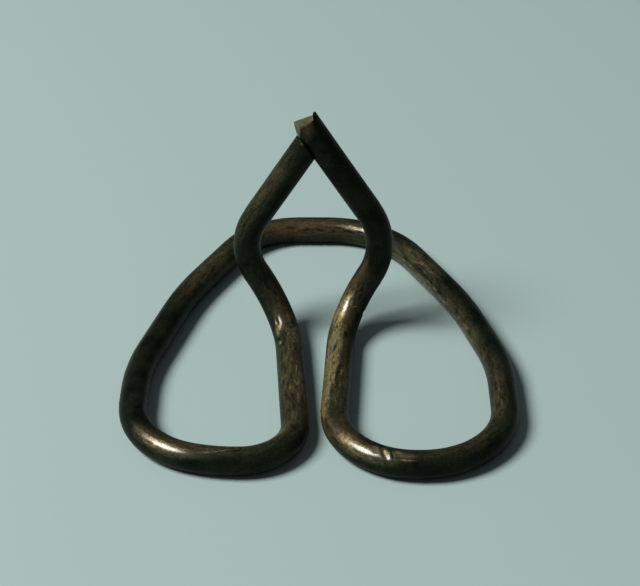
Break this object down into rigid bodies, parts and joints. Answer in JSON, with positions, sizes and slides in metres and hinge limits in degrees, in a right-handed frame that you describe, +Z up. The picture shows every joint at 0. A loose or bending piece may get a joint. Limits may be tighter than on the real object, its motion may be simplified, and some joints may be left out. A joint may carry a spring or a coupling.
{
  "type": "bent wire stand",
  "caption": "Small free-standing stand bent from one round wire: a flat looped foot, paired runs that turn up at the neck, and an upright diamond head whose cut ends meet at the top",
  "frame": {"origin": "under the middle of the foot, on the surface that the stand rests on", "axes": "+Z up, -Y towards the front of the foot where the two toes are, +X to the right; the head stands in a plane across Y"},
  "size_m": [0.0398, 0.0444, 0.026],
  "materials": {
    "wire": "drawn wire with a dark olive-brown patina, bright where it is rubbed or nipped"
  },
  "bodies": {
    "root": {"left_arm": "wire", "left_run": "wire", "left_toe": "wire", "left_rail": "wire", "back_bow": "wire", "right_rail": "wire", "right_toe": "wire", "right_run": "wire", "right_arm": "wire"}
  },
  "joints": []
}
